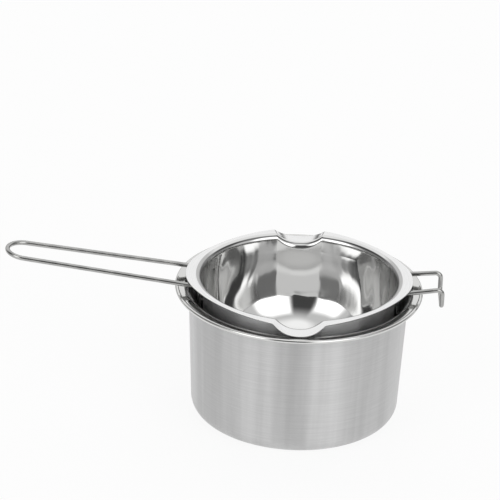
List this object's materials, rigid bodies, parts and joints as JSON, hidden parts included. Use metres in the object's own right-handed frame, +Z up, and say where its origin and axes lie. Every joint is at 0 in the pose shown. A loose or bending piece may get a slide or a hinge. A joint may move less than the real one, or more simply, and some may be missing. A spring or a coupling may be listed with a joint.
{
  "type": "double boiler",
  "caption": "Sheet steel double boiler: a flared water pot with a pouring bowl that hangs in it by a long wire handle and a wire hook.",
  "frame": {"origin": "middle of the pot's flat base, on the surface that it stands on", "axes": "+Z up; +X towards the wire hook, with the handle along -X; the pouring spouts face -Y and +Y"},
  "size_m": [0.2775, 0.157, 0.1059],
  "materials": {
    "pot_steel": "brushed around the wall, polished at the mouth",
    "bowl_steel": "mirror polished inside, satin outside",
    "wire_steel": "polished",
    "weld_steel": "matt"
  },
  "bodies": {
    "pot": {"pot_body": "pot_steel"},
    "bowl": {"bowl_shell": "bowl_steel", "handle_wire": "wire_steel", "hook_wire": "wire_steel", "handle_welds": "weld_steel", "hook_welds": "weld_steel"}
  },
  "joints": [
    {"name": "bowl_lift", "type": "slide", "parent": "pot", "child": "bowl", "axis": [0, 0, 1], "range_m": [0, 0.12]}
  ]
}
